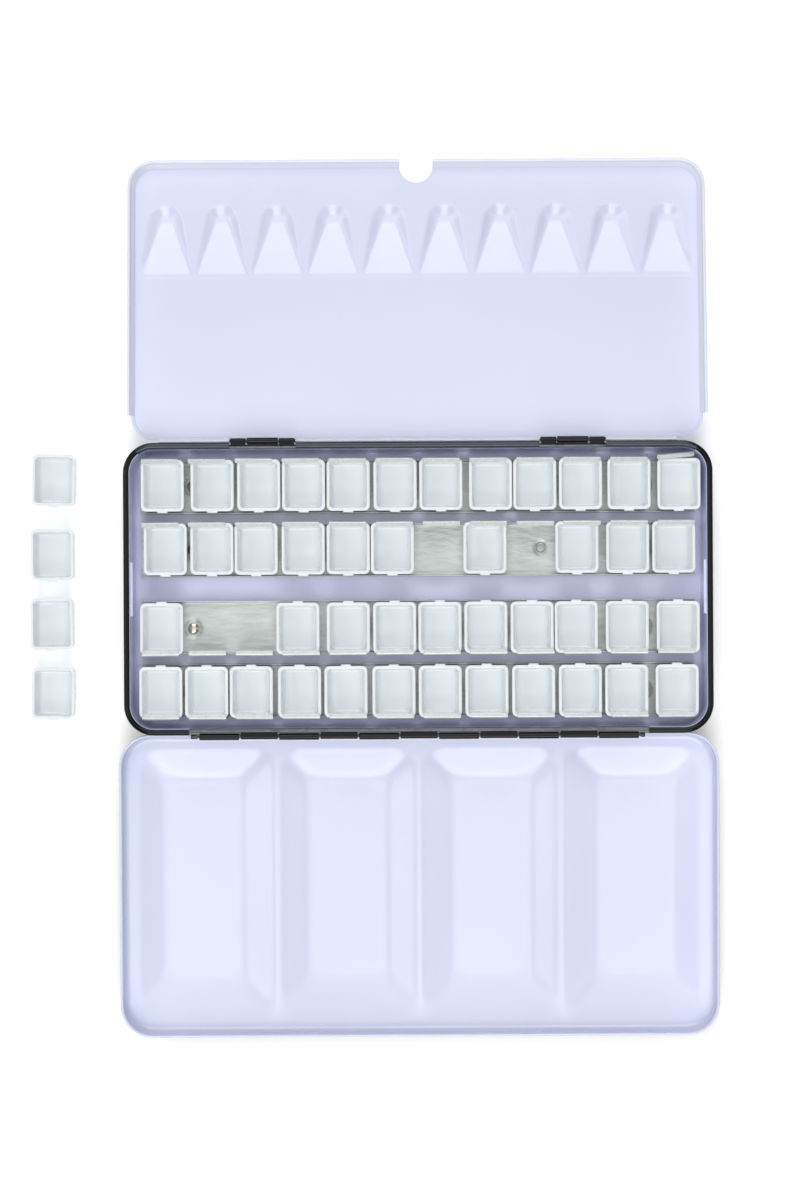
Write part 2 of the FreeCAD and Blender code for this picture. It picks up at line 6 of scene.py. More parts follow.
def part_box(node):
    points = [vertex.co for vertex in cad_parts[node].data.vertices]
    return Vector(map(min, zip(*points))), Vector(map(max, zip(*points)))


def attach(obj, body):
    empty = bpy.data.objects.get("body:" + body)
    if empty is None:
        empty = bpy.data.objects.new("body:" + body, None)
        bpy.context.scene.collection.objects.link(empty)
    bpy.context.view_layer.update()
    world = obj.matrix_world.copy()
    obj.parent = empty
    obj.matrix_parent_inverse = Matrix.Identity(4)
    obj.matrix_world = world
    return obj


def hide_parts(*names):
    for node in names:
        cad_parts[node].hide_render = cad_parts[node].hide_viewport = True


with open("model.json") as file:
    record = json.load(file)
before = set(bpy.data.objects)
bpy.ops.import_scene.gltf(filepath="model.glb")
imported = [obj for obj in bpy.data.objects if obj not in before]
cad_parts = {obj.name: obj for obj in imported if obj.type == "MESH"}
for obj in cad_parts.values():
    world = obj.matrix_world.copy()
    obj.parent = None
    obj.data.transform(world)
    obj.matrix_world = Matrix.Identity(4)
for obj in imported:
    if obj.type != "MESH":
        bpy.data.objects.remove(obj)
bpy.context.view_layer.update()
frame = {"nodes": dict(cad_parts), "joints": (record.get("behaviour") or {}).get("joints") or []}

MM = 0.001

# ------------------------------------------------------------------ the tin's sizes, mm
AXIS_Z, LID_Y, LEAF_Y = 14.8, -54.1, 54.1
TILT = {}
for j in frame["joints"]:
    if j["name"] == "leaf_hinge":
        TILT["leaf"] = j["range_deg"][1]
    if j["name"] == "lid_hinge":
        TILT["lid"] = j["range_deg"][1]
T = 0.4
TRAY_HX, TRAY_HY, TRAY_R = 105.35, 51.1, 8.6
ROWS_Y = [37.95, 14.6, -14.6, -37.95]
SIDES = [1, 1, -1, -1]
FIX_X = [-83.4, -45.5, 45.5, 83.4]


# ------------------------------------------------------------------ mesh helpers
def make_object(name, verts, faces, mats, mat_index=None, sharp=32.0, transform=None, recalc=True):
    """Mesh object from millimetre vertices, shaded smooth with sharp edges kept."""
    me = bpy.data.meshes.new(name)
    v = np.asarray(verts, float) * MM
    me.from_pydata([tuple(p) for p in v], [], [tuple(int(i) for i in f) for f in faces])
    for m in mats:
        me.materials.append(m)
    if mat_index is not None:
        me.polygons.foreach_set("material_index", np.asarray(mat_index, np.int32))
    me.update()
    if recalc:
        bm = bmesh.new()
        bm.from_mesh(me)
        bmesh.ops.recalc_face_normals(bm, faces=bm.faces)
        bm.to_mesh(me)
        bm.free()
    if transform is not None:
        me.transform(transform)
    me.polygons.foreach_set("use_smooth", [True] * len(me.polygons))
    me.set_sharp_from_angle(angle=math.radians(sharp))
    ob = bpy.data.objects.new(name, me)
    bpy.context.scene.collection.objects.link(ob)
    return ob


class Build:
    """Several closed parts gathered into one mesh."""

    def __init__(self):
        self.v, self.f, self.m = [], [], []

    def add(self, verts, faces, mat=0):
        n = len(self.v)
        self.v.extend([tuple(p) for p in verts])
        self.f.extend([tuple(int(i) + n for i in f) for f in faces])
        if np.isscalar(mat):
            self.m.extend([mat] * len(faces))
        else:
            self.m.extend(list(mat))

    def make(self, name, mats, sharp=32.0, transform=None):
        return make_object(name, self.v, self.f, mats, self.m, sharp, transform)


def arc(cx, cz, r, a0, a1, n):
    """Points on a circle from a0 to a1 degrees, both ends included."""
    return [(cx + r * math.cos(math.radians(a0 + (a1 - a0) * i / n)), cz + r * math.sin(math.radians(a0 + (a1 - a0) * i / n))) for i in range(n + 1)]


def extrude_x(outline, x0, x1, bevel=0.0):
    """Closed prism along X from a (y, z) outline, its two ends slightly bevelled."""
    o = np.array(outline, float)
    n = len(o)
    c = o.mean(0)
    rings = []
    # inward offset along vertex normals for the bevelled ends
    nxt, prv = np.roll(o, -1, 0), np.roll(o, 1, 0)
    e = nxt - prv
    nrm = np.stack([e[:, 1], -e[:, 0]], 1)
    nrm /= np.maximum(np.linalg.norm(nrm, axis=1, keepdims=True), 1e-9)
    area = 0.5 * np.sum(o[:, 0] * nxt[:, 1] - nxt[:, 0] * o[:, 1])
    if area < 0:
        nrm = -nrm
    small = o - nrm * bevel
    if bevel:
        rings = [(x0, small), (x0 + bevel, o), (x1 - bevel, o), (x1, small)]
    else:
        rings = [(x0, o), (x1, o)]
    v, f = [], []
    for x, r in rings:
        v += [(x, p[0], p[1]) for p in r]
    for k in range(len(rings) - 1):
        for i in range(n):
            a, b = k * n + i, k * n + (i + 1) % n
            f.append((a, b, b + n, a + n))
    f.append(tuple(range(n))[::-1])
    f.append(tuple((len(rings) - 1) * n + i for i in range(n)))
    return v, f


def smooth_min(a, b, k):
    h = np.clip(0.5 + 0.5 * (b - a) / k, 0, 1)
    return b * (1 - h) + a * h - k * h * (1 - h)


def soft_ramp(t, e):
    """0 below 0, 1 above 1, linear between with both corners rounded over e."""
    t = np.asarray(t, float)
    def hinge(x):
        return np.where(x <= -e, 0.0, np.where(x >= e, x, (x + e) ** 2 / (4 * e)))
    return hinge(t) - hinge(t - 1.0)


def grid_shell(xs, ys, hx, hy, r, zf, zb, prof, cy):
    """Closed pressed-sheet shell. A grid covers the panel (half sizes hx, hy, corner radius r at its edge),
    front surface zf(x, y), back surface zb(x, y); prof lists (u, z) round the rim from front edge to back edge."""
    nc = 7
    cx_lines = [hx - r + r * math.tan(math.radians(45 * i / nc)) for i in range(nc + 1)]
    cy_lines = [hy - r + r * math.tan(math.radians(45 * i / nc)) for i in range(nc + 1)]
    mx = [x for x in xs if abs(x) < hx - r - 0.25]
    my = [y for y in ys if abs(y) < hy - r - 0.25]
    gx = np.array([-c for c in cx_lines[::-1]] + sorted(mx) + cx_lines)
    gy = np.array([-c for c in cy_lines[::-1]] + sorted(my) + cy_lines)
    nx, ny = len(gx), len(gy)
    X, Y = np.meshgrid(gx, gy, indexing="ij")
    ax, ay = np.abs(X) - (hx - r), np.abs(Y) - (hy - r)
    corner = (ax > 1e-9) & (ay > 1e-9)
    m = np.maximum(ax, ay)
    d = np.sqrt(ax ** 2 + ay ** 2)
    s = np.where(corner, m / np.maximum(d, 1e-9), 1.0)
    PX = np.where(corner, np.sign(X) * (hx - r + ax * s), X)
    PY = np.where(corner, np.sign(Y) * (hy - r + ay * s), Y)
    # boundary loop, anticlockwise
    loop = [(i, 0) for i in range(nx)] + [(nx - 1, j) for j in range(1, ny)] + [(i, ny - 1) for i in range(nx - 2, -1, -1)] + [(0, j) for j in range(ny - 2, 0, -1)]
    front = np.stack([PX, PY + cy, zf(PX, PY + cy)], -1).reshape(-1, 3)
    back = np.stack([PX, PY + cy, zb(PX, PY + cy)], -1).reshape(-1, 3)
    idx = lambda i, j: i * ny + j
    faces, mat = [], []
    nf = nx * ny
    for i in range(nx - 1):
        for j in range(ny - 1):
            q = (idx(i, j), idx(i + 1, j), idx(i + 1, j + 1), idx(i, j + 1))
            faces.append(q); mat.append(0)
            faces.append(tuple(k + nf for k in q[::-1])); mat.append(1)
    verts = list(map(tuple, front)) + list(map(tuple, back))
    B, N = [], []
    for i, j in loop:
        p = np.array([PX[i, j], PY[i, j]])
        c = np.array([np.sign(p[0]) * (hx - r), np.sign(p[1]) * (hy - r)])
        if abs(p[0]) > hx - r + 1e-6 and abs(p[1]) > hy - r + 1e-6:
            n = (p - c) / np.linalg.norm(p - c)
        else:
            on_x = i in (0, nx - 1) and abs(abs(p[0]) - hx) < 1e-6
            on_y = j in (0, ny - 1) and abs(abs(p[1]) - hy) < 1e-6
            n = np.array([np.sign(p[0]), 0.0]) if on_x and not (on_y and abs(p[0]) <= hx - r + 1e-6) else np.array([0.0, np.sign(p[1])])
        B.append(p); N.append(n)
    L = len(loop)
    prev = [idx(i, j) for i, j in loop]
    for k, (u, z, mm) in enumerate(prof):
        cur = list(range(len(verts), len(verts) + L))
        for p, n in zip(B, N):
            verts.append((p[0] + n[0] * u, p[1] + n[1] * u + cy, z))
        for a in range(L):
            b = (a + 1) % L
            faces.append((prev[a], cur[a], cur[b], prev[b])); mat.append(mm)
        prev = cur
    last = [idx(i, j) + nf for i, j in loop]
    for a in range(L):
        b = (a + 1) % L
        faces.append((prev[a], last[a], last[b], prev[b])); mat.append(1)
    return verts, faces, mat


def boolean(ob, cutters, op="DIFFERENCE"):
    """Exact boolean of ob with a list of (verts, faces)."""
    b = Build()
    for v, f in cutters:
        b.add(v, f)
    cut = make_object("cutter", b.v, b.f, [])
    mod = ob.modifiers.new("b", "BOOLEAN")
    mod.operation, mod.object, mod.solver = op, cut, "EXACT"
    mod.use_self = True
    deps = bpy.context.evaluated_depsgraph_get()
    me = bpy.data.meshes.new_from_object(ob.evaluated_get(deps))
    ob.modifiers.clear()
    old = ob.data
    ob.data = me
    bpy.data.meshes.remove(old)
    bpy.data.objects.remove(cut)
    me.polygons.foreach_set("use_smooth", [True] * len(me.polygons))
    me.set_sharp_from_angle(angle=math.radians(32))
    return ob


def prism_z(points, z0, z1):
    n = len(points)
    v = [(x, y, z0) for x, y in points] + [(x, y, z1) for x, y in points]
    f = [tuple(range(n))[::-1], tuple(range(n, 2 * n))] + [(i, (i + 1) % n, n + (i + 1) % n, n + i) for i in range(n)]
    return v, f


def about_x(y, z, sign, degrees):
    """Turn about an axis along X through (y, z), millimetres in, metres out."""
    t = Matrix.Translation(Vector((0, y * MM, z * MM)))
    return t @ Matrix.Rotation(math.radians(degrees) * sign, 4, "X") @ t.inverted()


# ------------------------------------------------------------------ materials
class Nodes:
    def __init__(self, name):
        self.mat = bpy.data.materials.new(name)
        self.mat.use_nodes = True
        self.t = self.mat.node_tree
        self.t.nodes.clear()
        self.out = self.t.nodes.new("ShaderNodeOutputMaterial")
        self.bsdf = self.t.nodes.new("ShaderNodeBsdfPrincipled")
        self.t.links.new(self.bsdf.outputs[0], self.out.inputs[0])
        self.geo = self.t.nodes.new("ShaderNodeTexCoord")
        self.pos = self.geo.outputs["Object"]

    def new(self, kind, **kw):
        n = self.t.nodes.new(kind)
        for k, v in kw.items():
            setattr(n, k, v)
        return n

    def link(self, a, b):
        self.t.links.new(a, b)

    def set(self, **kw):
        for k, v in kw.items():
            self.bsdf.inputs[k.replace("__", " ")].default_value = v

    def scaled(self, x, y, z):
        m = self.new("ShaderNodeMapping")
        m.inputs["Scale"].default_value = (x, y, z)
        self.link(self.pos, m.inputs["Vector"])
        return m.outputs[0]

    def noise(self, vec, scale, detail=3.0, rough=0.5):
        n = self.new("ShaderNodeTexNoise")
        n.inputs["Scale"].default_value = scale
        n.inputs["Detail"].default_value = detail
        n.inputs["Roughness"].default_value = rough
        self.link(vec, n.inputs["Vector"])
        return n.outputs["Fac"]

    def ramp(self, fac, stops):
        r = self.new("ShaderNodeValToRGB")
        els = r.color_ramp.elements
        while len(els) < len(stops):
            els.new(0.5)
        for e, (p, c) in zip(els, stops):
            e.position = p
            e.color = c if len(c) == 4 else (*c, 1)
        self.link(fac, r.inputs[0])
        return r.outputs[0]

    def maprange(self, fac, a, b, c, d):
        n = self.new("ShaderNodeMapRange")
        n.inputs[1].default_value, n.inputs[2].default_value = a, b
        n.inputs[3].default_value, n.inputs[4].default_value = c, d
        self.link(fac, n.inputs[0])
        return n.outputs[0]

    def bump(self, height, strength, distance, normal=None):
        b = self.new("ShaderNodeBump")
        b.inputs["Strength"].default_value = strength
        b.inputs["Distance"].default_value = distance
        self.link(height, b.inputs["Height"])
        if normal is not None:
            self.link(normal, b.inputs["Normal"])
        return b.outputs[0]


def enamel(name, light, dark, rough=0.16, wave=0.05, coat=0.5):
    """Baked enamel on tinplate: faint long waviness, fine orange peel, slight tone drift."""
    n = Nodes(name)
    big = n.noise(n.pos, 14.0, 2.0)
    fine = n.noise(n.pos, 900.0, 2.0)
    col = n.ramp(big, [(0.3, dark), (0.7, light)])
    n.link(col, n.bsdf.inputs["Base Color"])
    n.link(n.maprange(n.noise(n.pos, 120.0, 4.0), 0.3, 0.7, rough * 0.85, rough * 1.25), n.bsdf.inputs["Roughness"])
    b1 = n.bump(n.noise(n.pos, 22.0, 1.0), wave, 0.004)
    b2 = n.bump(fine, 0.035, 0.0004, b1)
    n.link(b2, n.bsdf.inputs["Normal"])
    n.set(**{"Coat__Weight": coat, "Coat__Roughness": 0.06, "IOR": 1.5})
    return n.mat


WHITE = enamel("enamel_white", (0.735, 0.775, 0.955), (0.71, 0.75, 0.935), 0.2, 0.05, 0.3)
# The tray's inside is the white enamel made a little darker and bluer: painted shade and painted bounce light for the
# deep tray.
TRAY_IN_SHADED = enamel("enamel_tray_inside_painted_shade", (0.70, 0.72, 0.945), (0.67, 0.69, 0.92), 0.2)
# Grey for the flared wall tops at the hinges: the inner enamel with painted shade.
SHADE = enamel("enamel_flare_painted_shade", (0.20, 0.205, 0.24), (0.14, 0.145, 0.175), 0.25)
# Near-black slate for the bead along the back side only: painted shade on the enamel there.
BACK_BEAD_SHADE = enamel("enamel_back_bead_painted_shade", (0.022, 0.025, 0.05), (0.014, 0.016, 0.036), 0.2, 0.02, 0.1)
# A brighter copy of the white enamel for the leaf's rim wall and lip: painted highlight.
RIM_HIGHLIGHT = enamel("enamel_white_rim_painted_highlight", (0.86, 0.885, 0.985), (0.83, 0.86, 0.975), 0.16, 0.02, 0.4)
BLACK = enamel("enamel_black", (0.008, 0.009, 0.011), (0.004, 0.004, 0.006), 0.12, 0.02)
BLACK.node_tree.nodes["Principled BSDF"].inputs["Specular IOR Level"].default_value = 0.22
BLACK.node_tree.nodes["Principled BSDF"].inputs["Coat Weight"].default_value = 0.0


def tinplate():
    """Dull tinned strip: pale grey green, crumpled a little where it was rolled and bent."""
    n = Nodes("tinplate")
    streak = n.noise(n.scaled(120, 700, 400), 1.0, 4.0, 0.6)
    wrinkle = n.noise(n.scaled(230, 720, 500), 1.0, 3.0, 0.55)
    cloud = n.noise(n.pos, 60.0, 3.0)
    mix = n.new("ShaderNodeMix", data_type="RGBA", blend_type="MULTIPLY")
    mix.inputs[0].default_value = 0.5
    n.link(n.ramp(streak, [(0.3, (0.52, 0.56, 0.545)), (0.5, (0.60, 0.64, 0.625)), (0.72, (0.68, 0.715, 0.70))]), mix.inputs["A"])
    n.link(n.ramp(cloud, [(0.3, (0.84, 0.85, 0.83)), (0.7, (1, 1, 1))]), mix.inputs["B"])
    n.link(mix.outputs["Result"], n.bsdf.inputs["Base Color"])
    n.link(n.maprange(streak, 0.3, 0.7, 0.36, 0.52), n.bsdf.inputs["Roughness"])
    b1 = n.bump(n.noise(n.scaled(700, 1500, 900), 1.0, 3.0), 0.1, 0.0003)
    b2 = n.bump(wrinkle, 0.5, 0.0007, b1)
    n.link(b2, n.bsdf.inputs["Normal"])
    n.set(Metallic=0.4)
    return n.mat


def steel(name, light, dark, rough):
    n = Nodes(name)
    ring = n.noise(n.pos, 1500.0, 4.0, 0.6)
    n.link(n.ramp(n.noise(n.pos, 500.0, 3.0), [(0.3, dark), (0.7, light)]), n.bsdf.inputs["Base Color"])
    n.link(n.maprange(ring, 0.3, 0.7, rough * 0.7, rough * 1.4), n.bsdf.inputs["Roughness"])
    n.link(n.bump(ring, 0.12, 0.0002), n.bsdf.inputs["Normal"])
    n.set(Metallic=1.0)
    return n.mat


def plastic():
    """Moulded polystyrene: milky, faint flow marks, satin inside."""
    n = Nodes("pan_plastic")
    flow = n.noise(n.scaled(60, 60, 260), 1.0, 3.0)
    n.link(n.ramp(flow, [(0.3, (0.825, 0.87, 0.89)), (0.7, (0.865, 0.90, 0.92))]), n.bsdf.inputs["Base Color"])
    n.link(n.maprange(n.noise(n.pos, 300.0, 3.0), 0.3, 0.7, 0.16, 0.26), n.bsdf.inputs["Roughness"])
    b1 = n.bump(flow, 0.05, 0.0006)
    b2 = n.bump(n.noise(n.pos, 2200.0, 2.0), 0.04, 0.0002, b1)
    n.link(b2, n.bsdf.inputs["Normal"])
    n.set(**{"Subsurface__Weight": 0.12, "Subsurface__Radius": (0.004, 0.004, 0.004), "Subsurface__Scale": 0.3, "IOR": 1.55})
    return n.mat


TIN = tinplate()
# A brighter, smoother tin for the finger lips and the low lip's top: painted highlight.
TIN_LIP_HIGHLIGHT = steel("tinplate_lip_painted_highlight", (0.62, 0.65, 0.65), (0.56, 0.59, 0.59), 0.34)
TIN_LIP_HIGHLIGHT.node_tree.nodes["Principled BSDF"].inputs["Metallic"].default_value = 0.35
RIVET = steel("rivet_nickel", (0.80, 0.74, 0.66), (0.50, 0.45, 0.40), 0.22)
EYELET = steel("eyelet_tinned", (0.50, 0.52, 0.51), (0.40, 0.42, 0.41), 0.36)
EYELET.node_tree.nodes["Principled BSDF"].inputs["Metallic"].default_value = 0.6
PIN = steel("pin_blackened", (0.10, 0.10, 0.11), (0.05, 0.05, 0.055), 0.3)
PLASTIC = plastic()


# ------------------------------------------------------------------ rolled knuckles
def curl(axis_y, side, r, t, tongue, a_start, sweep, n=22):
    """Outline (y, z) of a sheet edge rolled round a pin. side +1 or -1 mirrors it in Y."""
    outer = arc(0, 0, r, a_start, a_start + sweep, n)
    inner = arc(0, 0, r - t, a_start + sweep, a_start, n)
    pts = [(p[0], p[1]) for p in tongue[0]] + outer + inner + [(p[0], p[1]) for p in tongue[1]]
    return [(axis_y + side * p[0], AXIS_Z + p[1]) for p in pts]


# ------------------------------------------------------------------ tray
def build_tray():
    b = Build()
    # perimeter samples: (point, normal, kind) kind 0 = bead, 1 = flare for the lid hinge, 2 = flare for a leaf hinge
    P, N, K = [], [], []
    hx, hy, r = TRAY_HX, TRAY_HY, TRAY_R
    gaps_front = [(-84.0, 84.0)]
    gaps_back = [(-56.7 - 12.15, -56.7 + 12.15), (56.7 - 12.15, 56.7 + 12.15)]

    def side(vals, fn, nrm, gaps, kind):
        pts = set(round(v, 4) for v in vals)
        for g in gaps:
            for e in g:
                pts |= {round(e - 0.03, 4), round(e + 0.03, 4)}
        return [(fn(v), nrm, kind if any(g[0] < v < g[1] for g in gaps) else 0) for v in sorted(pts)]

    nc = 14
    lin = lambda a, c, n: [a + (c - a) * i / n for i in range(n + 1)]
    ylist = lin(-(hy - r), hy - r, 60) + [-9.96, -9.68, 9.68, 9.96]
    xlist = lin(-(hx - r), hx - r, 48)
    seq = []
    seq += side(ylist, lambda v: (hx, v), (1, 0), [], 0)
    seq += [((hx - r + r * math.cos(a), hy - r + r * math.sin(a)), (math.cos(a), math.sin(a)), 0) for a in [math.radians(90 * i / nc) for i in range(1, nc)]]
    seq += side(xlist, lambda v: (v, hy), (0, 1), gaps_back, 2)[::-1]
    seq += [((-(hx - r) + r * math.cos(a), hy - r + r * math.sin(a)), (math.cos(a), math.sin(a)), 0) for a in [math.radians(90 + 90 * i / nc) for i in range(1, nc)]]
    seq += side(ylist, lambda v: (-hx, v), (-1, 0), [], 0)[::-1]
    seq += [((-(hx - r) + r * math.cos(a), -(hy - r) + r * math.sin(a)), (math.cos(a), math.sin(a)), 0) for a in [math.radians(180 + 90 * i / nc) for i in range(1, nc)]]
    seq += side(xlist, lambda v: (v, -hy), (0, -1), gaps_front, 1)
    seq += [((hx - r + r * math.cos(a), -(hy - r) + r * math.sin(a)), (math.cos(a), math.sin(a)), 0) for a in [math.radians(270 + 90 * i / nc) for i in range(1, nc)]]
    ri, ro, rb, zb = 1.6, 2.0, 1.2, 14.8
    a0 = 228.19
    foot_in = arc(-ri, T + ri, ri, -90, 0, 7)           # from floor to wall
    foot_out = arc(-ri, T + ri, ro, 0, -90, 7)
    wall_z = [3.2, 6.0, 8.6, 9.4, 10.0, 10.7, 11.4, 12.1, 12.8, 13.2, 13.5, 13.7, 13.84, 13.92]
    nb = 18
    bead = arc(rb, zb, rb, 180, a0 - 360, nb)            # over the top and round outside
    top = AXIS_Z + 0.95
    up = [(0.0, 13.5), (0.03, 13.62), (0.12, 13.82), (0.35, 14.22), (0.6, 14.68), (0.85, 15.13), (1.05, 15.48), (1.2, top)]
    down = [(1.32, top + 0.0), (1.5, top - 0.12), (1.52, top - 0.24), (1.36, 15.2), (1.1, 14.74), (0.85, 14.3), (0.62, 13.95), (0.48, 13.72), (0.42, 13.6), (0.4, 13.5), (0.4, 13.45)]
    flare = up + down
    while len(flare) < len(bead):
        flare.append((0.4, 13.45 - 0.02 * (len(flare) - 18)))
    profs = []
    for kind, rim in ((0, bead), (1, flare)):
        inner = foot_in + [(0.0, z) for z in wall_z]
        outer = [(T, z) for z in wall_z[::-1] if z < rim[-1][1] - 0.05]
        outer_full = [(T, min(z, rim[-1][1] - 0.02 * (i + 1))) for i, z in enumerate(wall_z[::-1])]
        pr = inner + list(rim) + outer_full + foot_out
        profs.append(pr)
    M = len(profs[0])
    assert M == len(profs[1]), (M, len(profs[1]))
    n_in = len(foot_in) + len(wall_z)
    verts = []
    for (p, n, k) in seq:
        pr = profs[1 if k else 0]
        for i, (u, z) in enumerate(pr):
            # rib pressed into the end walls
            if n[0] in (1, -1) and abs(p[1]) < 10.0 and 9.2 < z < 13.88 and i not in range(n_in + 3, n_in + nb - 1):
                along = np.clip((9.95 - abs(p[1])) / 0.25, 0, 1)
                across = min(1.0, (z - 9.2) / 1.4, (13.93 - z) / 0.05)
                u = u - 0.85 * across * (along * along * (3 - 2 * along))
            verts.append((p[0] + n[0] * u, p[1] + n[1] * u, z))
    S = len(seq)
    faces, mat = [], []
    top_i = n_in + 3
    for s in range(S):
        s2 = (s + 1) % S
        kk = seq[s][2] if seq[s][2] == seq[s2][2] else 9
        for i in range(M - 1):
            faces.append((s * M + i, s2 * M + i, s2 * M + i + 1, s * M + i + 1))
            inside = i < n_in - 1
            # The hinge flares take the grey painted shade.
            flare_shade = kk in (1, 2) and not inside and i < n_in + (8 if kk == 1 else 5)
            lip = kk == 0 and not inside and i < n_in + 2
            # The bead along the back side takes the dark slate painted shade.
            back_bead_shade = kk == 0 and not inside and i < n_in + 8 and seq[s][1][1] > 0.8
            mat.append(0 if inside or lip and not back_bead_shade else 2 if flare_shade else 3 if back_bead_shade else 1)
    faces.append([s * M for s in range(S)]); mat.append(0)
    faces.append([s * M + M - 1 for s in range(S)][::-1]); mat.append(1)
    b.add(verts, faces, mat)
    # rolled knuckles on the lid side
    for i in range(-2, 3):
        xc = i * 29.2
        o = curl(LID_Y, 1, 0.95, 0.34, ([(1.75, 0.95), (0.6, 0.95)], [(0.6, 0.61), (1.6, 0.61)]), 90, 300)
        v, f = extrude_x(o, xc - 6.75, xc + 6.75, 0.08)
        b.add(v, f, 1)
    for s in (-1, 1):
        for e in (-1, 1):
            xc = s * 56.7 + e * 8.85
            o = curl(LEAF_Y, -1, 0.95, 0.34, ([(1.75, 0.95), (0.6, 0.95)], [(0.6, 0.61), (1.6, 0.61)]), 90, 300)
            v, f = extrude_x(o, xc - 2.8, xc + 2.8, 0.08)
            b.add(v, f, 1)
    return b.make("tray_shell", [TRAY_IN_SHADED, BLACK, SHADE, BACK_BEAD_SHADE])


# ------------------------------------------------------------------ palette leaf
def thumb_depth(x, y):
    """Depth of the ten ramp wells at closed position (x, y)."""
    r, d0, d1, depth = 6.3, 62.0, 88.8, 2.4
    yc = LEAF_Y - (d1 - r)
    y0 = LEAF_Y - d0
    phi = math.radians(-9.6)
    pitch = 20.55
    k = np.round(x / pitch + 4.5)
    k = np.clip(k, 0, 9)
    lx = np.abs(x - (k - 4.5) * pitch)
    ly = y - yc                                   # towards the crease
    dist = np.sqrt(lx ** 2 + ly ** 2)
    sd_cone = r - (lx * math.cos(phi) + ly * math.sin(phi))
    sd_cap = r - dist
    sd = np.where(ly * math.cos(phi) - lx * math.sin(phi) < 0, sd_cap, sd_cone)
    t = (y0 - y) / (y0 - yc)
    ramp = depth * np.clip(t, 0, 1.0)
    wall = np.maximum(sd, 0) * 0.68
    d = smooth_min(ramp, wall, 0.5)
    d = np.where((sd > 0) & (y < y0 + 0.01), np.maximum(d, 0), 0.0)
    return d


def build_leaf():
    z1 = 20.3
    hx, f, h = 105.4, 1.7, 0.6
    y_0, y_1 = -49.5, 53.4
    cy, hy, r = (y_0 + y_1) / 2, (y_1 - y_0) / 2, 8.8
    zc = 16.3 + h
    xs = np.arange(-105, 105.01, 0.62)
    yy0, yy1 = LEAF_Y - 91.0 - cy, LEAF_Y - 60.0 - cy
    ys = list(np.arange(yy0, yy1, 0.62)) + list(np.linspace(-hy, yy0 - 0.8, 7)) + list(np.linspace(yy1 + 0.8, hy, 24))
    crease = LEAF_Y - 62.0

    def zf(x, y):
        fold = 0.10 * np.exp(-((y - crease) / 0.45) ** 2)
        sag = 0.12 * np.cos(np.clip(x / 108, -1, 1) * math.pi / 2) * np.cos(np.clip((y - cy) / 53, -1, 1) * math.pi / 2)
        return z1 + thumb_depth(x, y) + fold + sag

    def zb(x, y):
        return zf(x, y) + T

    # Material 2 on the rim wall and lip is the brighter white enamel, a painted highlight.
    prof = [(0.14, z1 - 0.02, 0), (0.32, z1 - 0.12, 0), (0.5, z1 - 0.34, 0), (0.66, z1 - 0.7, 2), (1.1, z1 - 1.5, 2), (1.5, 18.0, 2), (f, 17.4, 2)]
    aj = math.degrees(math.atan2(math.sqrt(h ** 2 - (h - T) ** 2), T - h))
    prof += [(f + p[0], p[1], 2) for p in arc(h, zc, h, 180, aj + 360, 16)]
    prof += [(f + T, 18.4, 0)]
    prof += [(p[0], p[1], 0) for p in arc(0, z1 - f, f + T, 0, 90, 6)[:-1]]
    v, fc, m = grid_shell(xs, ys, hx - f, hy - f, r - f, zf, zb, prof, cy)
    # knuckles and their tongues
    b = Build()
    b.add(v, fc, [2 if q == 2 else 0 for q in m])
    for s in (-1, 1):
        xc = s * 56.7
        o = curl(LEAF_Y, 1, 1.1, 0.36, ([(0.25, 2.5), (0.25, 2.86), (0.9, 2.86), (1.1, 2.6), (1.1, 1.2)], [(0.74, 1.2), (0.74, 2.2), (0.7, 2.5)]), 0, -300)
        o2 = [(p[0], p[1]) for p in o]
        v, f2 = extrude_x(o2, xc - 5.7, xc + 5.7, 0.08)
        b.add(v, f2, 1)
    ob = b.make("palette_leaf_sheet", [WHITE, BLACK, RIM_HIGHLIGHT])
    # bare rounded corners beside the hinge, and the finger notch
    cut = []
    for s in (-1, 1):
        a, c = sorted((s * 95.0, s * 120.0))
        cut.append(prism_z([(a, 44.0), (c, 44.0), (c, 60.0), (a, 60.0)], 10.0, z1 - 0.25))
    e = y_0 - 2 * h
    R = 6.1
    pts = [(-R - 0.8, e - 5), (R + 0.8, e - 5), (R + 0.8, e - 0.2)] + [(R + 0.8 - 0.8 * math.sin(a), e + 0.6 - 0.8 * math.cos(a) ) for a in [math.radians(15 * i) for i in range(1, 6)]]
    pts += [(R * math.cos(a), e + 8.0 - R + R * math.sin(a)) for a in [math.radians(180 * i / 28) for i in range(29)]]
    pts += [(-R - 0.8 + 0.8 * math.sin(a), e + 0.6 - 0.8 * math.cos(a)) for a in [math.radians(15 * i) for i in range(5, 0, -1)]] + [(-R - 0.8, e - 0.2)]
    cut.append(prism_z(pts, 10.0, 30.0))
    boolean(ob, cut)
    ob.data.transform(about_x(LEAF_Y, AXIS_Z, -1, TILT["leaf"]))
    return ob


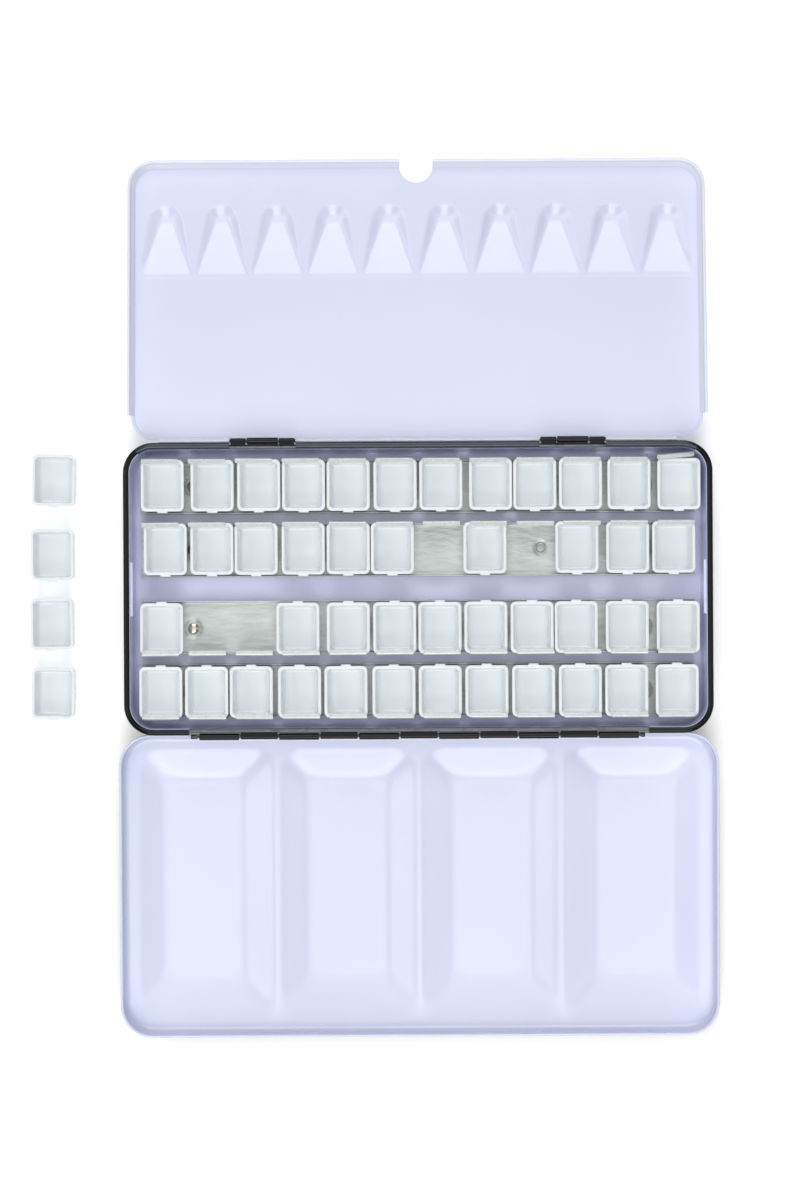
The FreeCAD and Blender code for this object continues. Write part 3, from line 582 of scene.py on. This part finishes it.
# ------------------------------------------------------------------ lid
def build_lid():
    z1 = 23.6
    hx, f, h = 109.0, 2.4, 0.5
    y_0, y_1 = -54.0, 55.6
    cy, hy, r = (y_0 + y_1) / 2, (y_1 - y_0) / 2, 11.0
    zc = 16.2 + h
    xs = np.arange(-108, 108.01, 0.9)
    ys = np.arange(-54, 54.01, 0.9)

    def zf(x, y):
        k = np.clip(np.round(x / 52.7 + 1.5), 0, 3)
        lx = 25.7 - np.abs(x - (k - 1.5) * 52.7)
        ly = 49.35 - np.abs(y)
        sd = smooth_min(lx, ly, 7.0)
        d = 3.5 * soft_ramp(sd / 11.5, 0.24)
        return z1 + d

    def zb(x, y):
        return zf(x, y) + T + 0.03

    prof = [(p[0], p[1], 0) for p in arc(0, z1 - f, f, 90, 0, 8)[1:]]
    prof += [(f, 19.6, 0), (f, 17.6, 0)]
    aj = math.degrees(math.atan2(math.sqrt(h ** 2 - (h - T) ** 2), T - h))
    lip = arc(h, zc, h, 180, aj + 360, 16)
    prof += [(f + p[0], p[1], 0 if i <= 9 else 1) for i, p in enumerate(lip)]
    prof += [(f + T, 19.4, 1)]
    prof += [(p[0], p[1], 1) for p in arc(0, z1 - f, f + T, 0, 90, 8)[:-1]]
    v, fc, m = grid_shell(xs, ys, hx - f, hy - f, r - f, zf, zb, prof, cy)
    b = Build()
    b.add(v, fc, m)
    for i in range(6):
        xc = (i - 2.5) * 29.2
        o = curl(LID_Y, -1, 1.2, 0.38, ([(0.1, 2.0), (0.1, 2.38), (1.0, 2.38), (1.2, 2.15), (1.2, 1.0)], [(0.82, 1.0), (0.82, 2.0)]), 0, -300)
        v, f2 = extrude_x(o, xc - 7.25, xc + 7.25, 0.1)
        b.add(v, f2, 1)
    return b.make("lid_sheet", [WHITE, BLACK], transform=about_x(LID_Y, AXIS_Z, 1, TILT["lid"]))


# ------------------------------------------------------------------ strips
def build_strip(n, row, side):
    t = 0.35
    zf, top = 1.35, 1.70
    hx, pitch, fw = 102.6, 17.2, 13.6
    run = (9.95 - 8.95) / (10.6 - top)
    y_at = lambda z: 8.95 + run * (z - top)
    # path across the strip, finger tip to the low lip opposite, as the inner face (y, z)
    bend = 0.7
    # finger: a short lip folded in over the pan rim, then down to the channel
    z_rim = 11.98
    path = [(7.95, z_rim + 0.06), (8.1, z_rim + 0.02), (8.6, z_rim), (9.12, z_rim), (9.36, z_rim - 0.08), (9.54, z_rim - 0.2), (9.64, z_rim - 0.42)]
    path += [(9.12 + (9.62 - 9.12) * (z - 3.0) / 7.9, z) for z in (10.6, 9.0, 7.0, 5.0, 4.0, 3.0)]
    path += [(y_at(top + bend), top + bend)]
    path += [(8.95 - bend + bend * math.cos(a), top + bend - bend * math.sin(a)) for a in [math.radians(22.5 * i) for i in range(1, 4)]]
    nfl = 25
    wide = 0.8                                   # the low lip stands this much further out
    path += [(8.95 - bend - (2 * (8.95 - bend) + wide) * i / (nfl - 1), top) for i in range(nfl)]
    path += [(-(9.05 + wide - bend + bend * math.cos(a)), top + bend - bend * math.sin(a)) for a in [math.radians(22.5 * i) for i in range(3, 0, -1)]]
    path += [(-y_at(top + bend) - wide - 0.12 + 0.14 * (z - top - bend) / 1.6, z) for z in (top + bend, 3.0, 3.7, 4.0)]
    P = len(path)
    i_f = 12             # the fingers are the path before this index, above z = 3
    lines = set()
    for k in range(12):
        xc = (k - 5.5) * pitch
        for d in (-fw / 2, -fw / 2 + 0.25, -fw / 2 + 0.9, fw / 2 - 0.9, fw / 2 - 0.25, fw / 2):
            lines.add(round(min(max(xc + d, -hx), hx), 3))
        for d in (-5, -3.4, 0.0, 3.4, 5):
            lines.add(round(xc + d, 3))
        lines.add(round(xc + pitch / 2, 3))
    lines = [x for x in lines if -hx <= x <= hx]
    for fx in FIX_X:
        lines = [x for x in lines if abs(x - fx) > 4.2 or any(abs(abs(x - (k - 5.5) * pitch) - e) < 1e-3 for k in range(12) for e in (fw / 2,))]
        lines += [round(fx + d, 3) for d in np.arange(-4.0, 4.01, 0.5)]
    xs = sorted(set(lines) | {-hx, hx})
    keep = [xs[0]]
    for x in xs[1:]:
        if x - keep[-1] > 0.12:
            keep.append(x)
        elif any(abs(abs(x - (k - 5.5) * pitch) - e) < 1e-3 for k in range(12) for e in (fw / 2,)):
            keep[-1] = x
    xs = keep
    rng = random.Random(100 + n)
    lean = [rng.uniform(0.0, 0.14) for _ in range(12)]
    skew = [rng.uniform(-0.06, 0.06) for _ in range(12)]
    if n == 1:
        lean[11], skew[11] = 1.15, 0.55          # the one finger standing sprung back
    finger_of = lambda xm: int(np.clip(round(xm / pitch + 5.5), 0, 11))
    V3 = {}
    verts, faces, which_mat = [], [], []

    def vert(i, k, which):
        """Shared vertex, except that finger corners are rounded in."""
        key = (i, k)
        if key in V3:
            return V3[key]
        x = xs[i]
        y, z = path[k]
        j = finger_of(x)
        xc = (j - 5.5) * pitch
        if k < i_f:
            lz = (z - 3.0) / 8.6
            y += (lean[j] + skew[j] * (x - xc) / (fw / 2)) * lz ** 1.5
            if k < 2:
                e = fw / 2 - abs(x - xc)
                if e < 0.5:
                    x -= math.copysign((0.4, 0.12)[k] * (1 - e / 0.5), x - xc)
        if abs(z - top) < 1e-6:
            for fx in FIX_X:
                d = math.hypot(x - fx, y)
                if abs(fx) > 60:
                    z -= 0.92 * float(1 - soft_ramp((d - 2.75) / 0.9, 0.35))
                else:
                    z -= 0.66 * float(1 - soft_ramp((d - 2.3) / 0.5, 0.3))
            z += 0.06 * math.sin(x * 0.09 + n) * math.cos(y * 0.2)
        V3[key] = len(verts)
        verts.append((x, side * y + row, z))
        return V3[key]

    for i in range(len(xs) - 1):
        xm = (xs[i] + xs[i + 1]) / 2
        j = finger_of(xm)
        xc = (j - 5.5) * pitch
        in_finger = abs(xm - xc) < fw / 2
        for k in range(P - 1):
            if k < i_f and not in_finger:
                continue
            q = (vert(i, k, 0), vert(i + 1, k, 0), vert(i + 1, k + 1, 0), vert(i, k + 1, 0))
            faces.append(q if side > 0 else q[::-1])
            # The finger lips and the low lip's top take the brighter tin, a painted highlight.
            which_mat.append(1 if k < 7 or k == P - 2 else 0)
    me = bpy.data.meshes.new("s")
    me.from_pydata([tuple(c * MM for c in p) for p in verts], [], faces)
    me.materials.append(TIN)
    me.materials.append(TIN_LIP_HIGHLIGHT)
    me.polygons.foreach_set("material_index", which_mat)
    bm = bmesh.new()
    bm.from_mesh(me)
    bmesh.ops.recalc_face_normals(bm, faces=bm.faces)
    up = sum(f.normal.z * f.calc_area() for f in bm.faces)
    if up < 0:
        bmesh.ops.reverse_faces(bm, faces=bm.faces)
    bm.to_mesh(me)
    bm.free()
    ob = bpy.data.objects.new("spring_strip_%d" % n, me)
    bpy.context.scene.collection.objects.link(ob)
    mod = ob.modifiers.new("s", "SOLIDIFY")
    mod.thickness, mod.offset, mod.use_even_offset = t * MM, -1.0, True
    mod2 = ob.modifiers.new("b", "BEVEL")
    mod2.width, mod2.segments, mod2.limit_method, mod2.angle_limit = 0.07 * MM, 1, "ANGLE", math.radians(60)
    deps = bpy.context.evaluated_depsgraph_get()
    new = bpy.data.meshes.new_from_object(ob.evaluated_get(deps))
    ob.modifiers.clear()
    ob.data = new
    new.polygons.foreach_set("use_smooth", [True] * len(new.polygons))
    new.set_sharp_from_angle(angle=math.radians(40))
    return ob


# ------------------------------------------------------------------ fixings and pins
def lathe(profile, n=28):
    """Closed solid of revolution about Z from (r, z) points, first and last on or off the axis."""
    v, f = [], []
    rings = []
    for r, z in profile:
        if r < 1e-6:
            rings.append([len(v)]); v.append((0, 0, z))
        else:
            rings.append(list(range(len(v), len(v) + n)))
            v += [(r * math.cos(2 * math.pi * i / n), r * math.sin(2 * math.pi * i / n), z) for i in range(n)]
    m = len(rings)
    closed = len(rings[0]) > 1 and len(rings[-1]) > 1
    for k in range(m if closed else m - 1):
        a, b = rings[k], rings[(k + 1) % m]
        for i in range(n):
            j = (i + 1) % n
            if len(a) == 1 and len(b) == 1:
                continue
            if len(a) == 1:
                f.append((a[0], b[i], b[j]))
            elif len(b) == 1:
                f.append((a[i], b[0], a[j]))
            else:
                f.append((a[i], b[i], b[j], a[j]))
    return v, f


def moved(vf, x, y, z):
    v, f = vf
    return [(p[0] + x, p[1] + y, p[2] + z) for p in v], f


def turned_x(vf, x, y, z):
    """Lathe solid laid along X."""
    v, f = vf
    return [(p[2] + x, p[1] + y, -p[0] + z) for p in v], f


def build_fixings():
    dome, ring = Build(), Build()
    z0 = 0.79
    head = [(0, 0.02), (1.3, 0.02), (1.48, 0.1), (1.48, z0 + 0.02), (2.05, z0), (2.15, z0 + 0.08), (2.1, z0 + 0.26), (1.9, z0 + 0.47), (1.55, z0 + 0.67), (1.05, z0 + 0.81), (0.5, z0 + 0.87), (0, z0 + 0.88)]
    eye = [(0, 0.02), (1.3, 0.02), (1.48, 0.1), (1.48, z0 + 0.02), (2.1, z0), (2.24, z0 + 0.15), (2.2, z0 + 0.5), (2.02, z0 + 0.72), (1.82, z0 + 0.78), (1.62, z0 + 0.7), (1.46, z0 + 0.48), (1.3, z0 + 0.36), (0.7, z0 + 0.44), (0, z0 + 0.47)]
    for row in ROWS_Y:
        for x in FIX_X:
            if abs(x) > 60:
                dome.add(*moved(lathe(head, 32), x, row, 0))
            else:
                ring.add(*moved(lathe(eye, 32), x, row, 0))
    return dome.make("strip_rivet_heads", [RIVET]), ring.make("strip_eyelet_discs", [EYELET])


def build_pins():
    b = Build()
    def pin(x0, x1, hr, h0, h1):
        f, g = min(1.0, h0 / 0.6), min(1.0, h1 / 0.6)
        prof = [(0, x0 - h0), (hr * 0.6, x0 - h0 + 0.02), (hr * 0.92, x0 - h0 + 0.16 * f), (hr, x0 - h0 + 0.4 * f), (hr * 0.94, x0 - 0.12 * f), (0.45, x0),
                (0.45, x1), (hr * 0.94, x1 + 0.12 * g), (hr, x1 + h1 - 0.4 * g), (hr * 0.92, x1 + h1 - 0.16 * g), (hr * 0.6, x1 + h1 - 0.02), (0, x1 + h1)]
        return lathe(prof, 24)
    lid = Build()
    lid.add(*turned_x(pin(-80.9, 80.9, 0.8, 2.5, 1.7), 0, LID_Y, AXIS_Z))
    for s in (-1, 1):
        b.add(*turned_x(pin(s * 56.7 - 11.75, s * 56.7 + 11.75, 0.75, 0.36, 0.36), 0, LEAF_Y, AXIS_Z))
    return lid.make("lid_pin", [PIN]), b.make("leaf_pins", [PIN])


# ------------------------------------------------------------------ half pans
def pan_mesh():
    """One moulded half pan about the origin, standing on z = 0."""
    W, L, H, D = 15.9 / 2, 19.0 / 2, 9.8, 0.75
    nc = 6

    LUG = [(-1.9, 0), (-1.83, 0.8), (-1.65, 1), (1.65, 1), (1.83, 0.8), (1.9, 0)]

    def loop(hx, hy, r, z, lug=0):
        pts = []
        for cx, cy, a0 in ((hx - r, hy - r, 0), (-(hx - r), hy - r, 90), (-(hx - r), -(hy - r), 180), (hx - r, -(hy - r), 270)):
            for i in range(nc + 1):
                a = math.radians(a0 + 90 * i / nc)
                pts.append((cx + r * math.cos(a), cy + r * math.sin(a), z))
            if a0 == 180:
                pts += [(x, -hy - 0.55 * lug * p, z) for x, p in LUG]
        return pts

    def at(z):
        return D * (H - z) / H
    loops = []
    # underside: shallow recess inside a foot rim
    loops.append(loop(W - at(0) - 1.5, L - at(0) - 1.5, 0.6, 0.45))
    loops.append(loop(W - at(0) - 1.2, L - at(0) - 1.2, 0.8, 0.42))
    loops.append(loop(W - at(0) - 1.1, L - at(0) - 1.1, 0.9, 0.0))
    loops.append(loop(W - at(0) - 0.35, L - at(0) - 0.35, 1.2, 0.0))
    loops.append(loop(W - at(0) - 0.1, L - at(0) - 0.1, 1.35, 0.1))
    loops.append(loop(W - at(0.4), L - at(0.4), 1.4, 0.4))
    for z in (3.0, 6.0, 8.4):
        loops.append(loop(W - at(z), L - at(z), 1.4 + 0.6 * z / H, z))
    loops.append(loop(W - at(8.72), L - at(8.72), 2.0, 8.72))
    loops.append(loop(W - at(9.26), L - at(9.26), 2.0, 9.26, 1))
    loops.append(loop(W - at(H - 0.28), L - at(H - 0.28), 2.0, H - 0.28, 1))
    loops.append(loop(W - 0.09, L - 0.09, 1.92, H - 0.09, 1))
    loops.append(loop(W - 0.3, L - 0.3, 1.75, H, 1))
    w = 1.15
    loops.append(loop(W - w + 0.22, L - w + 0.22, 1.3, H))
    loops.append(loop(W - w + 0.06, L - w + 0.06, 1.22, H - 0.07))
    loops.append(loop(W - w, L - w, 1.18, H - 0.25))
    k = lambda z: D * (H - z) / H
    for z in (7.0, 4.0, 1.75):
        loops.append(loop(W - w - k(z), L - w - k(z), 0.8 + 0.35 * z / H, z))
    loops.append(loop(W - w - k(1.2) - 0.08, L - w - k(1.2) - 0.08, 0.8, 1.22))
    loops.append(loop(W - w - k(1.0) - 0.3, L - w - k(1.0) - 0.3, 0.7, 1.03))
    loops.append(loop(W - w - k(1.0) - 0.8, L - w - k(1.0) - 0.8, 0.6, 1.0))
    n = len(loops[0])
    v = [p for lp in loops for p in lp]
    f = []
    for a in range(len(loops) - 1):
        for i in range(n):
            j = (i + 1) % n
            f.append((a * n + i, a * n + j, (a + 1) * n + j, (a + 1) * n + i))
    f.append(tuple(range(n))[::-1])
    f.append(tuple((len(loops) - 1) * n + i for i in range(n)))
    return v, f


PAN = pan_mesh()


def place_pan(node, body, turn):
    lo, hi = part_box(node)
    cx, cy, z0 = (lo.x + hi.x) / 2 / MM, (lo.y + hi.y) / 2 / MM, lo.z / MM
    c, s = math.cos(math.radians(turn)), math.sin(math.radians(turn))
    cy += math.copysign(0.275 - 2.8 * abs(s), c)          # the lug stands out at one end only
    v = [(cx + p[0] * c - p[1] * s, cy + p[0] * s + p[1] * c, z0 + p[2]) for p in PAN[0]]
    ob = make_object("half_" + node, v, PAN[1], [PLASTIC], None, 38.0)
    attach(ob, body)
    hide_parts(node)
    return ob


# ------------------------------------------------------------------ assemble
def put(ob, body, slot, *nodes):
    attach(ob, body)
    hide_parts(*nodes)
    return ob


put(build_tray(), "tray", "enamel_outer", "base_tray")
put(build_leaf(), "leaf", "enamel_inner", "palette_leaf")
put(build_lid(), "lid", "enamel_inner", "lid")
for n, (row, side) in enumerate(zip(ROWS_Y, SIDES), 1):
    put(build_strip(n, row, side), "tray", "tinplate", "pan_strip_%d" % n)
d, e = build_fixings()
put(d, "tray", "rivet_steel", "strip_rivets")
put(e, "tray", "rivet_steel", "strip_eyelets")
a, c = build_pins()
put(a, "tray", "pin_steel", "lid_hinge_pin")
put(c, "tray", "pin_steel", "leaf_hinge_pins")

LOOSE_TURN = {"pan_loose_1": -1.4, "pan_loose_2": 0.3, "pan_loose_3": 0.4, "pan_loose_4": -1.0}
for node in sorted(frame["nodes"]):
    if node.startswith("pan_") and not node.startswith("pan_strip"):
        place_pan(node, node + "_body", LOOSE_TURN.get(node, 180.0 if node[:6] in ("pan_r3", "pan_r4") else 0.0))

# ------------------------------------------------------------------ floor, light, camera
def flat_material(name, rgb, rough):
    n = Nodes(name)
    n.link(n.ramp(n.noise(n.pos, 3.0, 2.0), [(0.3, rgb), (0.7, tuple(c * 1.004 for c in rgb))]), n.bsdf.inputs["Base Color"])
    n.set(Roughness=rough)
    return n.mat


FLOOR = flat_material("floor_paper", (0.97, 0.97, 0.97), 0.85)
glow = FLOOR.node_tree.nodes["Principled BSDF"]
glow.inputs["Emission Color"].default_value = (1, 1, 1, 1)
glow.inputs["Emission Strength"].default_value = 0.28
me = bpy.data.meshes.new("floor")
me.from_pydata([(-4, -4, 0), (4, -4, 0), (4, 4, 0), (-4, 4, 0)], [], [(0, 1, 2, 3)])
me.materials.append(FLOOR)
floor = bpy.data.objects.new("floor", me)
bpy.context.scene.collection.objects.link(floor)

world = bpy.data.worlds.new("studio")
world.use_nodes = True
bg = world.node_tree.nodes["Background"]
bg.inputs[0].default_value = (0.95, 0.96, 1.0, 1)
bg.inputs[1].default_value = 0.03
bpy.context.scene.world = world


def area(name, loc, target, size, energy, color=(1, 1, 1), size_y=None):
    l = bpy.data.lights.new(name, "AREA")
    l.energy, l.color, l.size = energy, color, size
    if size_y:
        l.shape, l.size_y = "RECTANGLE", size_y
    o = bpy.data.objects.new(name, l)
    o.location = loc
    o.rotation_euler = (Vector(target) - Vector(loc)).to_track_quat("-Z", "Y").to_euler()
    bpy.context.scene.collection.objects.link(o)
    return o


def softbox(name, azimuth, elevation, size, energy, color=(1, 1, 1), reach=1.6):
    """Square soft light round the tin, azimuth from +X towards +Y."""
    a, e = math.radians(azimuth), math.radians(elevation)
    area(name, (reach * math.cos(e) * math.cos(a), reach * math.cos(e) * math.sin(a), reach * math.sin(e)), (0, 0, 0), size, energy, color)


softbox("front", -90, 45, 1.0, 10.9)
softbox("back", 90, 45, 1.0, 9.6)
softbox("front_high", -90, 65, 0.8, 2.4)
softbox("back_high", 90, 65, 0.8, 0.9)
softbox("top", 0, 89, 1.05, 3.7)
softbox("left", 180, 45, 1.0, 6.0)
softbox("right", 0, 45, 1.0, 2.6)

cam = bpy.data.cameras.new("camera")
cam.sensor_fit = "VERTICAL"
cam.sensor_height = 36.0
H = 0.90
PX = 0.3665 * 1e-3                       # metres per image pixel at 12 mm above the table
cam.lens = 36.0 * (H - 0.012) / (1200 * PX)
co = bpy.data.objects.new("camera", cam)
co.location = ((400 - 418.3) * PX, (588 - 600) * PX, H)
co.rotation_euler = (0, 0, math.radians(-0.3))
bpy.context.scene.collection.objects.link(co)
bpy.context.scene.camera = co
cam.clip_end = 50

sc = bpy.context.scene
sc.view_settings.view_transform = "Standard"
sc.view_settings.look = "None"
sc.view_settings.exposure = 0.0
